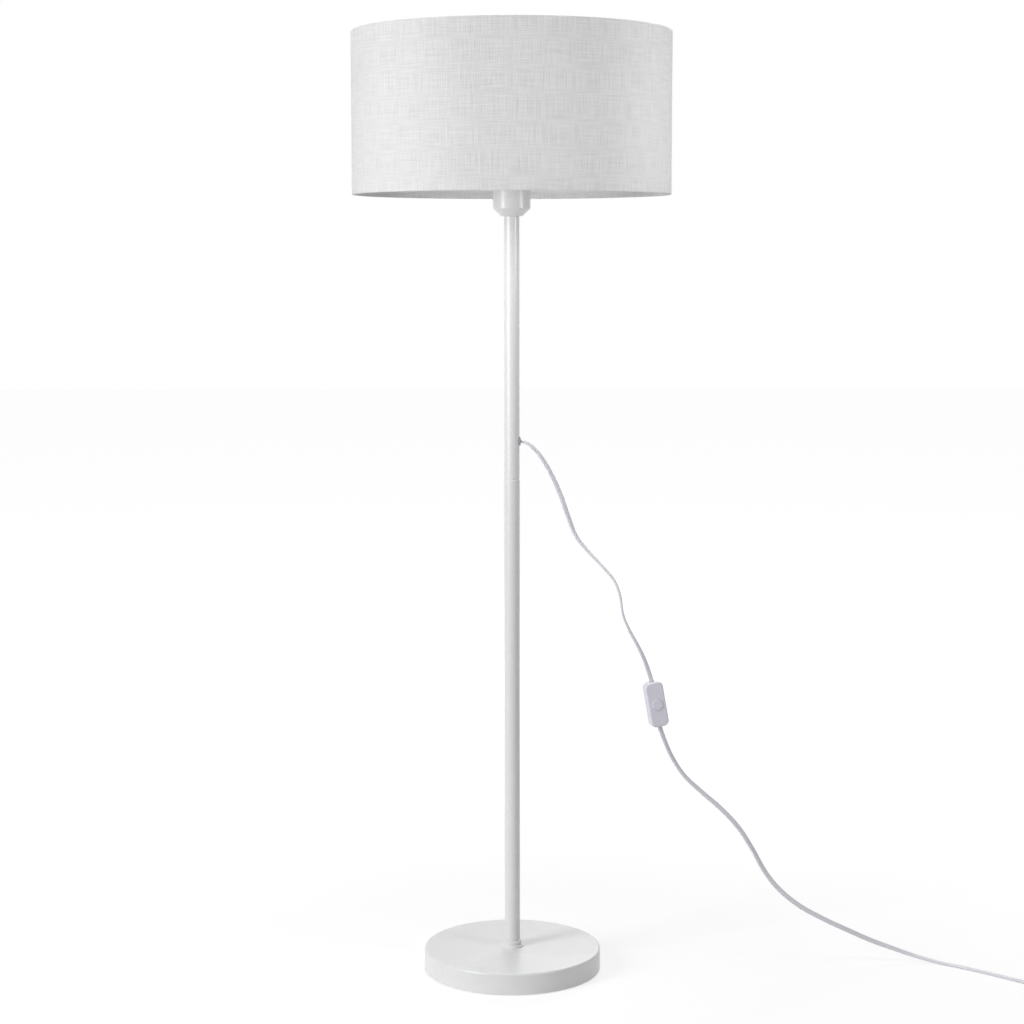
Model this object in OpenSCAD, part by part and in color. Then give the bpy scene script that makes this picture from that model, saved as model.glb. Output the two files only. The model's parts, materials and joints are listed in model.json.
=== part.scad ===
// Column floor lamp: a weighted round base, a column of two steel tubes, a lampholder in a cup,
// a drum shade, and a flat two-core lead with an in-line switch and a two-pin plug.
// Sizes are in millimetres. +Z is up, the floor is Z = 0 and the column stands on the Z axis.
// The lead leaves the column towards +X, and the switch faces -Y.

/* [Base] */
// Outside diameter of the base cover
base_d = 257.5; // [220:0.5:300]
// Height of the base, from the floor to the top of its cover
base_h = 32; // [28:0.5:45]
// Wall of the base cover
cover_wall = 1.5; // [1:0.1:2.5]
// Outside radius of the cover's rounded top edge
cover_edge_r = 3; // [2.6:0.2:6]
// Gap between the floor and the cover's lower rim
rim_gap = 1.2; // [0.5:0.1:1.8]
// Thickness of the foam pad
pad_t = 2; // [1.8:0.1:4]
// Step from the bottom plate's edge in to the pad's edge
pad_inset = 3; // [1:0.5:10]
// Thickness of the bottom plate
plate_t = 1.5; // [1:0.1:2.5]
// Diameter of the recess for the bolt head
recess_d = 34; // [32:1:50]
// Depth of the recess in the weight
recess_depth = 9.5; // [8:0.5:12]
// Outside diameter of the bolt's washer
washer_d = 30; // [24:1:31]
// Thickness of the bolt's washer
washer_t = 1.6; // [1:0.1:3]
// Width of the bolt's hexagon head across its flats
bolt_head_af = 17; // [15:0.5:19]
// Thickness of the bolt's head
bolt_head_t = 6.4; // [4:0.2:6.8]
// How far the bolt screws into the column
bolt_grip = 20; // [12:1:24]

/* [Column] */
// Outside diameter of the lower tube
lower_tube_d = 22.4; // [20:0.2:26]
// Outside diameter of the upper tube
upper_tube_d = 21.8; // [20:0.2:26]
// Wall of both tubes
tube_wall = 1; // [0.8:0.1:1.5]
// Length of the lower tube
lower_tube_l = 678; // [550:1:800]
// Length of the upper tube
upper_tube_l = 373.5; // [320:0.5:480]
// Bevel round the ends of the tubes
tube_bevel = 0.5; // [0.2:0.1:0.6]
// Diameter of the column's thread
thread_d = 10; // [8:0.5:11]
// Length of the threaded inserts in the tubes
insert_l = 25; // [24:1:35]
// Bevel round the ends of the inserts
insert_bevel = 1; // [0.5:0.1:1.5]
// Length of the stud that joins the tubes
stud_l = 36; // [20:1:46]
// Diameter of the collar's foot
collar_d = 32; // [29:0.5:40]
// Thickness of the collar's foot
collar_foot_t = 3; // [2:0.5:5]
// Diameter of the collar's neck
collar_neck_d = 26.5; // [24.5:0.5:28]
// Height of the collar
collar_h = 10.5; // [8:0.5:20]
// Height of the groove between the collar's neck and the lower tube
groove_h = 1; // [0.5:0.1:1.5]
// How far the groove goes in from the lower tube's surface
groove_depth = 0.6; // [0.3:0.1:0.8]

/* [Holder] */
// Diameter of the holder cup
cup_d = 53; // [51.5:0.5:56]
// Diameter of the cup's flat foot
cup_foot_d = 30; // [26:1:36]
// Height of the cup's cone
cup_cone_h = 11; // [6:0.5:14]
// Height of the cup
cup_h = 45; // [43:0.5:60]
// Wall of the cup
cup_wall = 1.2; // [0.8:0.1:1.6]
// Rounding of the cup's two outside corners
cup_corner_r = 3; // [0.6:0.2:4]
// Bore of the hollow nipple that carries the holder
nipple_bore_d = 7.8; // [7.6:0.1:8]
// How far the nipple goes down into the column
nipple_grip = 22; // [12:1:24]
// Diameter of the nipple's washer
nipple_washer_d = 22; // [18:1:26]
// Thickness of the nipple's washer
nipple_washer_t = 1; // [0.8:0.1:2]
// Width of the nipple's nut across its flats
nipple_nut_af = 14; // [13:0.5:17]
// Thickness of the nipple's nut
nipple_nut_t = 3; // [2:0.5:5]
// Diameter of the holder's lower housing
holder_base_d = 40; // [39:0.5:44]
// Height of the holder's lower housing
holder_base_h = 23; // [21:0.5:26]
// Thickness of the lower housing's floor
holder_floor_t = 6; // [4:0.5:8]
// Wall of the lower housing beside the contact block
holder_base_wall = 2; // [1.5:0.1:2.5]
// Width of the ledge that carries the contact block
block_ledge = 1; // [0.5:0.1:1.5]
// Thickness of the contact block
block_t = 8; // [5:0.5:10]
// Outside diameter of the holder's threaded sleeve
holder_shell_d = 39.5; // [39:0.1:39.8]
// Length of the threaded sleeve above its flange
holder_thread_l = 19; // [18:0.5:26]
// Pitch of the ridges on the threaded sleeve
shell_pitch = 2.5; // [2:0.1:3]
// Depth of the ridges on the threaded sleeve
shell_ridge = 0.6; // [0.3:0.1:0.8]
// Diameter of the sleeve's flange
flange_d = 52; // [50:0.5:53]
// Thickness of the sleeve's flange
flange_t = 2; // [1.5:0.1:3]
// Bore of the metal screw sleeve for the bulb
screw_sleeve_d = 27.3; // [27:0.1:27.6]
// Wall of the metal screw sleeve
screw_sleeve_wall = 0.5; // [0.3:0.1:0.8]
// Height of the metal screw sleeve
screw_sleeve_h = 31; // [20:0.5:31.5]
// Height of the side contact, from the block to the screw sleeve
side_contact_h = 6; // [4:0.5:8]
// Diameter of the shade rings
shade_ring_d = 54; // [50:0.5:60]
// Thickness of the lower shade ring
lower_ring_t = 6; // [4:0.5:8]
// Thickness of the upper shade ring
upper_ring_t = 7; // [4:0.5:9]

/* [Shade] */
// Outside diameter of the drum shade
shade_d = 450; // [380:1:500]
// Height of the drum shade
shade_h = 225; // [170:1:300]
// Height of the fitter's hub above the shade's lower rim
fitter_drop = 23; // [15:0.5:40]
// Thickness of the fabric
fabric_t = 0.8; // [0.5:0.1:1.2]
// Thickness of the stiff liner
liner_t = 0.6; // [0.4:0.1:1]
// Diameter of the two wire rings
wire_d = 3; // [2.4:0.1:4]
// Width of the hem that the fabric turns in over the wires
hem_h = 8; // [6:0.5:14]
// Diameter of the fitter's spokes
spoke_d = 3.2; // [2.6:0.1:4]
// Width of the fitter's hub ring
hub_w = 10; // [9:0.5:16]
// Thickness of the fitter's hub ring
hub_t = 1.5; // [1:0.1:2.5]

/* [Bulb] */
// Diameter of the bulb's globe
globe_d = 60; // [50:1:80]
// Wall of the globe
globe_wall = 1.2; // [0.8:0.1:2]
// How far below the globe's centre it meets the housing
globe_cut = 13; // [8:1:18]
// Height of the bulb's housing
housing_h = 31; // [24:1:40]
// Diameter at the foot of the bulb's housing
housing_foot_d = 28.5; // [27.5:0.5:34]
// Wall of the bulb's housing
housing_wall = 1.5; // [1:0.1:2.5]
// Outside diameter of the bulb's screw cap
cap_d = 26.2; // [26:0.1:26.4]
// Height of the bulb's screw cap
cap_h = 23; // [20:0.5:26]
// Pitch of the bulb's screw cap
cap_pitch = 3.6; // [3.2:0.1:4]
// Depth of the cap's rounded thread
cap_ridge = 1; // [0.5:0.1:1.2]
// Height of the black insulator under the cap
insulator_h = 4; // [3:0.2:5]
// Diameter of the contact at the tip
tip_d = 10; // [7:0.5:12]
// Height of the contact at the tip
tip_h = 2.2; // [1.5:0.1:3]
// Gap between the lampholder's mouth and the bulb's housing
bulb_gap = 0.4; // [0.3:0.1:2]

/* [Lead] */
// Width of the flat lead
cord_w = 7.2; // [6:0.1:7.4]
// Thickness of the flat lead
cord_t = 3.8; // [2.8:0.1:4]
// Height of the lead's hole above the joint of the two tubes
exit_rise = 55; // [45:0.5:200]
// Diameter of the bushing's flange
bushing_d = 13; // [12:0.2:15]
// How far the bushing stands out of the tube
bushing_out = 1.6; // [1.2:0.1:4]
// Diameter of the bushing's barrel in the tube's hole
barrel_d = 10.4; // [9.6:0.1:11]
// How far the bushing's barrel reaches into the tube
barrel_in = 2; // [1:0.5:3]
// Diameter of the bushing's bore
bushing_bore_d = 7.8; // [7.6:0.1:8.4]
// Diameter of the clamp on the lead inside the tube
anchor_d = 13; // [11:0.5:16]
// Length of the clamp on the lead
anchor_l = 9; // [6:0.5:14]
// Height of the clamp above the lead's hole
anchor_rise = 26; // [20:0.5:60]
// Diameter of one insulated core
core_d = 2.4; // [1.8:0.1:2.8]

/* [Switch] */
// Length of the switch
switch_l = 66; // [60:1:80]
// Width of the switch
switch_w = 27; // [26:0.5:34]
// Depth of the switch, front to back
switch_depth = 18; // [17:0.5:22]
// Radius of the switch's corners, seen from the front
switch_corner_r = 8; // [5:0.5:10]
// Radius of the rounded edges of the switch's faces
switch_edge_r = 2.2; // [1:0.1:3]
// Wall of the switch's two halves
switch_wall = 1.8; // [1.4:0.1:2.2]
// Diameter of the switch's button
button_d = 16; // [12:0.5:17]
// How far the button stands out of the switch
button_out = 1.2; // [0.8:0.1:3]
// Travel of the button
button_travel = 2; // [1:0.1:2.2]
// Depth of the ring groove on the button's face
button_groove = 0.5; // [0.2:0.1:0.8]
// Diameter of the button's flange inside the switch
button_flange_d = 18.4; // [18:0.1:19]
// Thickness of the button's flange
button_flange_t = 1.5; // [1:0.1:2]
// Diameter of the button's stem
stem_d = 4; // [3:0.1:4.4]
// Mean diameter of the return spring
spring_d = 6.2; // [5.8:0.1:8]
// Wire of the return spring
spring_wire_d = 0.7; // [0.4:0.1:0.9]
// Turns of the return spring
spring_turns = 6; // [4:1:8]
// Diameter of the switch's screws
screw_d = 2.4; // [2:0.1:2.8]
// Diameter of the heads of the switch's screws
screw_head_d = 4.6; // [4:0.1:5]

/* [Plug] */
// Length of the plug's body
plug_l = 36; // [30:0.5:42]
// Width of the plug's front face
plug_w = 35.3; // [33:0.1:37]
// Length of the plug's body behind its widest place
plug_shoulder_l = 22; // [14:0.5:24]
// Width of the plug's body at the lead
plug_neck_w = 16; // [14:0.5:22]
// Thickness of the plug's body
plug_t = 13.7; // [12.5:0.1:15]
// Bevel along the plug's edges
plug_bevel = 1.5; // [0.8:0.1:2.5]
// Distance between the centres of the plug's pins
pin_pitch = 18.6; // [17.5:0.1:19]
// Diameter of the plug's pins
pin_d = 4; // [3.8:0.1:4.2]
// Length of the plug's pins
pin_l = 19; // [17:0.5:20]
// Length of the insulating sleeves on the pins
sleeve_l = 10; // [8:0.5:11]
// Diameter of the insulating sleeves
sleeve_d = 3.5; // [3.3:0.1:3.6]
// Length of the tapered strain relief
relief_l = 28; // [20:1:40]
// Diameter of the strain relief where it meets the plug
relief_d = 12; // [10.5:0.5:12.4]
// Diameter of the strain relief's free end
relief_tip_d = 9; // [8.4:0.1:10]

/* [Hidden] */
$fn = 48;

// Radial clearance of a piece pressed into another
fit = 0.05;
// Clearance between pieces that only lie close to each other
clear = 0.2;
// Extra length of a cut, so that it passes right through
over = 1;

// Heights, from the floor up
plate_z = pad_t;
weight_z = plate_z + plate_t;
weight_top = base_h - cover_wall;
shelf_z = weight_z + recess_depth;
tube_z = base_h + collar_h;
joint_z = tube_z + lower_tube_l;
exit_z = joint_z + exit_rise;
pole_top = joint_z + upper_tube_l;
cup_floor_z = pole_top + cup_wall;
holder_z = cup_floor_z + nipple_washer_t + nipple_nut_t;
block_top = holder_z + holder_base_h;
cup_rim_z = pole_top + cup_h;
flange_top = cup_rim_z + flange_t;
shell_top = flange_top + holder_thread_l;
hub_z = flange_top + lower_ring_t;
shade_z = hub_z - fitter_drop;
housing_z = shell_top + bulb_gap;
cap_z = housing_z - cap_h;
insulator_z = cap_z - insulator_h;
tip_z = insulator_z - tip_h;
centre_contact_top = tip_z - 0.3;
globe_z = housing_z + housing_h + globe_cut;

// Slope of the cup's cone, and the foot of the lower housing, which follows it
cup_slope = atan(cup_cone_h / (cup_d / 2 - cup_foot_d / 2));
cup_gap = 0.6;
holder_foot_r = min(
    holder_base_d / 2 - 1,
    cup_foot_d / 2 - cup_wall * tan(cup_slope / 2) - cup_gap
        + (holder_z - cup_floor_z) / tan(cup_slope)
);

// Radii
cover_in_r = base_d / 2 - cover_wall;
thread_r = thread_d / 2;
thread_bore_r = thread_r + fit;
bolt_hole_r = thread_r + 0.3;
block_r = holder_base_d / 2 - holder_base_wall - fit;
shell_bore_r = screw_sleeve_d / 2 + screw_sleeve_wall + fit;
hub_in_r = holder_shell_d / 2 + clear;
liner_out_r = shade_d / 2 - fabric_t;
liner_in_r = liner_out_r - liner_t;
wire_ring_r = liner_in_r - wire_d / 2 - 2 * fit;
hem_out_r = liner_in_r - wire_d - 4 * fit;
globe_cut_r = sqrt(pow(globe_d / 2, 2) - pow(globe_cut, 2));
exit_x = upper_tube_d / 2 + bushing_out;

// Angles of the fitter's spokes
spoke_angles = [90, 210, 330];

// Centre of the switch, its lean along the lead and its turn about its own length
switch_at = [208, 0, 393];
switch_lean = 10;
switch_turn = 14;
switch_down = [sin(switch_lean), 0, -cos(switch_lean)];
switch_in_y = -switch_depth / 2 + switch_wall;
switch_screw_at = [8, 23];

// The lead lies this far above the floor
floor_gap = 0.2;
coil_low_z = floor_gap + cord_t / 2;
coil_high_z = floor_gap + plug_t / 2;

// The coil: two layers, wound in and out again, put away beside the lamp
coil_at = [805, -80];
coil_r = 44;
coil_start_a = 227;
coil_turns = 3;
coil_step = 8;
coil_rings = 24;
coil_tail = 30;
coil_dir = [-sin(coil_start_a), cos(coil_start_a), 0];
coil_start = [coil_at.x + coil_r * cos(coil_start_a), coil_at.y + coil_r * sin(coil_start_a), 0];
coil_in = coil_start - coil_dir * cord_w + [0, 0, coil_low_z];
coil_out = coil_start + coil_dir * coil_tail + [0, 0, coil_high_z];

// Route points of the lead: X, Y, Z and the turn of its flat side about its own length
bushing_twist = 80;
flat_twist = 90;
cord_upper_route = [
    [exit_x, 0, exit_z, bushing_twist],
    [22, 0, 772.5, 72],
    [33, 1, 763, 60],
    [45, 2, 747.5, 46],
    [58, 4, 724, 32],
    [70, 6, 696.5, 24],
    [80, 7, 668, 35],
    [92, 7, 638, 60],
    [110, 6, 615, 80],
    [131, 4, 593, 88],
    [148, 2, 572, 92],
    [156, 1, 550, 90],
    [160, 0, 524, 84],
    [170, 0, 500, 72],
    [184, 0, 474, 56],
    [194, 0, 451, 36],
    concat(switch_at - switch_down * switch_l / 2, [switch_turn])
];
cord_lower_route = [
    concat(switch_at + switch_down * switch_l / 2, [switch_turn]),
    [219, 0, 345, 28],
    [232, 0, 315, 42],
    [251, 1, 286, 45],
    [276, 2, 262, 35],
    [303, 4, 238, 25],
    [329, 6, 210, 22],
    [350, 8, 178, 30],
    [371, 10, 140, 18],
    [394, 13, 111, 5],
    [424, 17, 86, 0],
    [458, 21, 66, 5],
    [494, 25, 48, 14],
    [530, 28, 31, 30],
    [564, 27, 18.5, 52],
    [597, 21, 8.5, 72],
    [629, 8, 3, 86],
    [660, -12, coil_low_z, flat_twist],
    [689, -36, coil_low_z, flat_twist],
    [717, -61, coil_low_z, flat_twist],
    [744, -85.5, coil_low_z, flat_twist],
    concat(coil_in, [flat_twist])
];
cord_inside_top = holder_z + holder_floor_t + 1;
cord_inside_route = [
    [exit_x, 0, exit_z, -bushing_twist],
    [8, 0, exit_z, -82],
    [3, 0, exit_z + 2, -85],
    [0.6, 0, exit_z + 8, -89],
    [0, 0, exit_z + 17, -flat_twist],
    [0, 0, exit_z + 60, -flat_twist],
    [0, 0, pole_top - 40, -flat_twist],
    [0, 0, cord_inside_top, -flat_twist]
];

// ---- Shared shapes ----

// Half profile of a disc of radius r and height h with a rounded top edge
module rounded_slab(r, h, edge) {
    square([r - edge, h]);
    square([r, h - edge]);
    translate([r - edge, h - edge]) circle(edge);
}

// Ring standing at height z, between two radii
module ring(z, inner, outer, h) {
    translate([0, 0, z]) rotate_extrude() translate([inner, 0]) square([outer - inner, h]);
}

// Round rod between two points
module rod(from, to, r) {
    along = to - from;
    len = norm(along);
    translate(from)
        rotate([0, acos(along.z / len), atan2(along.y, along.x)])
            cylinder(r = r, h = len);
}

// Steel tube with bevelled outside edges
module tube(z, d, wall, length, bevel) {
    r = d / 2;
    translate([0, 0, z]) rotate_extrude() polygon([
        [r - wall, 0], [r - bevel, 0], [r, bevel],
        [r, length - bevel], [r - bevel, length], [r - wall, length]
    ]);
}

// Threaded insert that is pressed into a tube, with its bore right through
module insert(z, tube_d) {
    r = tube_d / 2 - tube_wall - fit;
    translate([0, 0, z]) rotate_extrude() polygon([
        [thread_bore_r, 0], [r - insert_bevel, 0], [r, insert_bevel],
        [r, insert_l - insert_bevel], [r - insert_bevel, insert_l], [thread_bore_r, insert_l]
    ]);
}

// Corner points of an arc about a centre, from angle a0 to a1
function arc(centre, r, a0, a1, steps) = [
    for (i = [0 : steps]) let (a = a0 + (a1 - a0) * i / steps) centre + r * [cos(a), sin(a)]
];

// Outline with two straight sides and two round ends, as wide as w and as high as t
module flat_outline(w, t) {
    side = (w - t) / 2;
    translate([-side, -t / 2]) square([2 * side, t]);
    translate([-side, 0]) circle(t / 2);
    translate([side, 0]) circle(t / 2);
}

module rounded_rectangle(w, l, r) {
    translate([-w / 2 + r, -l / 2]) square([w - 2 * r, l]);
    translate([-w / 2, -l / 2 + r]) square([w, l - 2 * r]);
    for (x = [-1, 1], y = [-1, 1]) translate([x * (w / 2 - r), y * (l / 2 - r)]) circle(r);
}

// ---- The lead ----

function unit(v) = v / norm(v);
function xyz(p) = [p.x, p.y, p.z];

// Smooth curve through the points, between points i and i + 1
function between(points, i, s) = let (
    a = points[max(i - 1, 0)],
    b = points[i],
    c = points[i + 1],
    d = points[min(i + 2, len(points) - 1)]
) (2 * b + (c - a) * s + (2 * a - 5 * b + 4 * c - d) * s * s
    + (3 * b - a - 3 * c + d) * s * s * s) / 2;

function smooth(points, steps) = concat(
    [for (i = [0 : len(points) - 2], k = [0 : steps - 1]) between(points, i, k / steps)],
    [points[len(points) - 1]]
);

// Cross-section of the flat lead, with half of its corners on each round side
function flat_section(w, t, per_side) = [
    for (side = [1, -1], k = [0 : per_side - 1])
        let (a = -90 + 180 * k / (per_side - 1))
            side * [(w - t) / 2 + t / 2 * cos(a), t / 2 * sin(a)]
];
function round_section(d, corners) = [
    for (k = [0 : corners - 1]) d / 2 * [cos(360 * k / corners), sin(360 * k / corners)]
];
function hex_section(w, t) = let (flat = (w - t) / 2) [
    [w / 2, 0], [flat, t / 2], [-flat, t / 2], [-w / 2, 0], [-flat, -t / 2], [flat, -t / 2]
];

// One ring of a swept tube: the section at a point, with its wide side turned by twist
function swept_ring(section, at, along, twist) = let (
    upright = unit(cross(along, [0, 1, 0])),
    level = cross(upright, along),
    wide = cos(twist) * upright + sin(twist) * level,
    thin = cross(wide, along)
) [for (s = section) at + s.x * wide - s.y * thin];

// Rings along a route whose ends point in the given directions
function swept_rings(section, line, start_dir, end_dir) = let (last = len(line) - 1) [
    for (i = [0 : last])
        let (along = i == 0 ? start_dir
                : i == last ? end_dir
                : unit(xyz(line[i + 1]) - xyz(line[i - 1])))
            swept_ring(section, xyz(line[i]), along, line[i][3])
];

// Closed tube through rings that all have the same number of corners
module skin(rings) {
    corners = len(rings[0]);
    last = len(rings) - 1;
    faces = concat(
        [for (k = [1 : corners - 2]) [0, k, k + 1]],
        [for (k = [1 : corners - 2]) [0, k + 1, k] + last * corners * [1, 1, 1]],
        [for (i = [0 : last - 1], k = [0 : corners - 1]) let (j = (k + 1) % corners)
            [i * corners + k, (i + 1) * corners + k, (i + 1) * corners + j]],
        [for (i = [0 : last - 1], k = [0 : corners - 1]) let (j = (k + 1) % corners)
            [i * corners + k, (i + 1) * corners + j, i * corners + j]]
    );
    polyhedron(points = [for (r = rings) each r], faces = faces);
}

cord_section = flat_section(cord_w, cord_t, 5);
cord_steps = 2;

module cord_stretch(route, start_dir, end_dir) {
    color("white") skin(swept_rings(cord_section, smooth(route, cord_steps), start_dir, end_dir));
}

// Rings of the coil: round the loop by t turns, in on the low layer and out on the high one
function coil_radius(t) = coil_r - coil_step * min(t, coil_turns - t);
function coil_rise(t) = let (s = min(max(t - coil_turns / 2 + 0.25, 0), 0.5) * 2)
    coil_low_z + (coil_high_z - coil_low_z) * (3 * s * s - 2 * s * s * s);
function coil_ring(t) = let (
    a = coil_start_a + 360 * t,
    out = [cos(a), sin(a), 0],
    at = [coil_at.x, coil_at.y, coil_rise(t)] + coil_radius(t) * out
) [for (s = hex_section(cord_w, cord_t)) at + s.x * out - [0, 0, s.y]];
function coil_end_ring(at) = let (out = [cos(coil_start_a), sin(coil_start_a), 0])
    [for (s = hex_section(cord_w, cord_t)) at + s.x * out - [0, 0, s.y]];
coil_loop = [for (i = [0 : coil_turns * coil_rings]) coil_ring(i / coil_rings)];

// Least distance between the coil's turns, measured on the corners of its rings
coil_gap = min([
    for (i = [0 : len(coil_loop) - 1])
        for (j = [i + coil_rings / 2 : len(coil_loop) - 1])
            for (a = coil_loop[i], b = coil_loop[j]) norm(a - b)
]);
echo(least_gap_of_coil = coil_gap);

// ---- Base ----

module base_pad() {
    color("dimgray") ring(0, recess_d / 2, cover_in_r - fit - pad_inset, pad_t);
}

module base_bottom_plate() {
    color("silver") ring(plate_z, recess_d / 2, cover_in_r - fit, plate_t);
}

module base_weight() {
    color("gray") difference() {
        translate([0, 0, weight_z]) rotate_extrude()
            rounded_slab(cover_in_r - fit, weight_top - weight_z, cover_edge_r);
        translate([0, 0, weight_z - over]) cylinder(d = recess_d, h = recess_depth + over);
        translate([0, 0, shelf_z - over]) cylinder(r = bolt_hole_r, h = base_h);
    }
}

module base_cover() {
    color("white") rotate_extrude() difference() {
        rounded_slab(base_d / 2, base_h, cover_edge_r);
        rounded_slab(cover_in_r, weight_top, cover_edge_r - cover_wall);
        square([base_d, rim_gap]);
        square([bolt_hole_r, base_h + over]);
    }
}

module base_bolt() {
    head_top = shelf_z - washer_t;
    color("silver") {
        translate([0, 0, head_top - bolt_head_t])
            cylinder(d = bolt_head_af / cos(30), h = bolt_head_t, $fn = 6);
        translate([0, 0, head_top]) cylinder(r = thread_r, h = tube_z + bolt_grip - head_top);
    }
}

module base_washer() {
    color("silver") ring(shelf_z - washer_t, bolt_hole_r, washer_d / 2, washer_t);
}

module base_collar() {
    seat_r = lower_tube_d / 2 - groove_depth;
    color("white") translate([0, 0, base_h]) rotate_extrude() difference() {
        union() {
            rounded_slab(collar_d / 2, collar_foot_t, 1.2);
            rounded_slab(collar_neck_d / 2, collar_h - groove_h, 1.5);
            square([seat_r, collar_h]);
        }
        translate([0, -over]) square([bolt_hole_r, collar_h + 2 * over]);
    }
}

// ---- Column ----

module lower_tube() {
    color("white") tube(tube_z, lower_tube_d, tube_wall, lower_tube_l, tube_bevel);
}

module lower_tube_bottom_plug() {
    color("silver") insert(tube_z, lower_tube_d);
}

module lower_tube_top_plug() {
    color("silver") insert(joint_z - insert_l, lower_tube_d);
}

module joint_stud() {
    tip = 1;
    color("silver") translate([0, 0, joint_z - stud_l / 2]) {
        cylinder(r1 = thread_r - tip, r2 = thread_r, h = tip);
        translate([0, 0, tip]) cylinder(r = thread_r, h = stud_l - 2 * tip);
        translate([0, 0, stud_l - tip]) cylinder(r1 = thread_r, r2 = thread_r - tip, h = tip);
    }
}

module upper_tube() {
    color("white") difference() {
        tube(joint_z, upper_tube_d, tube_wall, upper_tube_l, tube_bevel);
        translate([0, 0, exit_z]) rotate([0, 90, 0])
            cylinder(d = barrel_d + 2 * fit, h = upper_tube_d);
    }
}

module upper_tube_bottom_plug() {
    color("silver") insert(joint_z, upper_tube_d);
}

module upper_tube_top_plug() {
    color("silver") insert(pole_top - insert_l, upper_tube_d);
}

// ---- Lampholder ----

module holder_nipple() {
    z = pole_top - nipple_grip;
    color("silver") ring(z, nipple_bore_d / 2, thread_r, holder_z + holder_floor_t - z);
}

module nipple_washer() {
    color("silver") ring(cup_floor_z, thread_bore_r, nipple_washer_d / 2, nipple_washer_t);
}

module nipple_nut() {
    color("silver") translate([0, 0, cup_floor_z + nipple_washer_t]) difference() {
        cylinder(d = nipple_nut_af / cos(30), h = nipple_nut_t, $fn = 6);
        translate([0, 0, -over]) cylinder(r = thread_bore_r, h = nipple_nut_t + 2 * over);
    }
}

// Cup with a flat foot, a cone and a straight side, its two outside corners rounded
module holder_cup() {
    r = cup_d / 2;
    foot = cup_foot_d / 2;
    low = cup_corner_r * tan(cup_slope / 2);
    high = cup_corner_r * tan((90 - cup_slope) / 2);
    high_centre = [r - cup_corner_r, cup_cone_h + high];
    outside = concat(
        arc([foot - low, cup_corner_r], cup_corner_r, -90, cup_slope - 90, 4),
        arc(high_centre, cup_corner_r, cup_slope - 90, 0, 4)
    );
    inside = [
        [r - cup_wall, cup_h],
        [r - cup_wall, cup_cone_h + cup_wall * tan((90 - cup_slope) / 2)],
        [foot - cup_wall * tan(cup_slope / 2), cup_wall],
        [thread_bore_r, cup_wall]
    ];
    color("white") translate([0, 0, pole_top]) rotate_extrude()
        polygon(concat([[thread_bore_r, 0]], outside, [[r, cup_h]], inside));
}

module holder_base() {
    r = holder_base_d / 2;
    ledge_r = block_r + fit - block_ledge;
    taper_h = (r - holder_foot_r) * tan(cup_slope);
    color("whitesmoke") translate([0, 0, holder_z]) rotate_extrude() difference() {
        polygon([
            [0, 0], [holder_foot_r, 0], [r, taper_h], [r, holder_base_h], [0, holder_base_h]
        ]);
        translate([0, -over]) square([thread_bore_r, holder_base_h + 2 * over]);
        translate([0, holder_floor_t]) square([ledge_r, holder_base_h]);
        translate([0, holder_base_h - block_t]) square([block_r + fit, holder_base_h]);
    }
}

// Two terminals lie across the lead's end, beside the contacts
terminal_x = 9;
terminal_r = 1.5;

module contact_block() {
    color("ivory") difference() {
        translate([0, 0, block_top - block_t]) cylinder(r = block_r, h = block_t);
        for (x = [-1, 1]) translate([x * terminal_x, 0, block_top - block_t - over])
            cylinder(r = terminal_r + fit, h = block_t + 2 * over);
    }
}

terminal_end_z = block_top - block_t - 3;

module terminal_screws() {
    color("gold") for (x = [-1, 1]) translate([x * terminal_x, 0, 0]) {
        translate([0, 0, terminal_end_z]) cylinder(r = terminal_r, h = block_top - terminal_end_z);
        translate([0, 0, block_top]) cylinder(r = 1.8 * terminal_r, h = terminal_r);
    }
}

// Spring tongue: a foot on the block, a bend and a flat top under the bulb's contact
module centre_contact() {
    strip_t = 0.6;
    strip_w = 5;
    top = centre_contact_top - block_top;
    color("gold") translate([0, strip_w / 2, block_top]) rotate([90, 0, 0])
        linear_extrude(strip_w) polygon([
            [-4.5, 0], [4.5, 0], [6, 1.4], [3, top - strip_t], [3, top], [-3, top],
            [-3, top - strip_t], [2.2, top - strip_t], [5, 1.6], [4.2, strip_t],
            [-4.5, strip_t]
        ]);
}

// Post that meets the lower edge of the metal screw sleeve
module side_contact() {
    post = 1.4;
    r = screw_sleeve_d / 2 + screw_sleeve_wall / 2;
    color("gold") translate([-2, r - post / 2, block_top]) cube([4, post, side_contact_h]);
}

module holder_shell() {
    r = holder_shell_d / 2;
    sleeve_z = block_top + side_contact_h;
    wide_r = r - 1.6;
    ridges = floor((holder_thread_l - 1) / shell_pitch);
    color("whitesmoke") rotate_extrude() difference() {
        union() {
            translate([0, block_top]) square([r, shell_top - block_top]);
            translate([0, cup_rim_z]) square([flange_d / 2, flange_t]);
        }
        translate([0, block_top - over]) square([shell_bore_r, shell_top]);
        translate([0, block_top - over]) square([wide_r, sleeve_z - block_top + over]);
        for (i = [0 : ridges - 1])
            translate([r, shell_top - 1 - i * shell_pitch]) polygon([
                [0, 0], [-shell_ridge, -shell_pitch / 3], [-shell_ridge, -shell_pitch / 2],
                [0, -shell_pitch * 5 / 6]
            ]);
    }
}

module screw_sleeve() {
    r = screw_sleeve_d / 2;
    color("goldenrod")
        ring(block_top + side_contact_h, r, r + screw_sleeve_wall, screw_sleeve_h);
}

// Ring nut with a knurled edge
module shade_ring(z, h) {
    notch = 1.2;
    color("whitesmoke") difference() {
        ring(z, hub_in_r - clear + fit, shade_ring_d / 2, h);
        for (a = [0 : 15 : 359]) rotate([0, 0, a])
            translate([shade_ring_d / 2, 0, z - over]) cylinder(r = notch, h = h + 2 * over);
    }
}

module lower_shade_ring() {
    shade_ring(flange_top, lower_ring_t);
}

module upper_shade_ring() {
    shade_ring(hub_z + hub_t, upper_ring_t);
}

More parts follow.
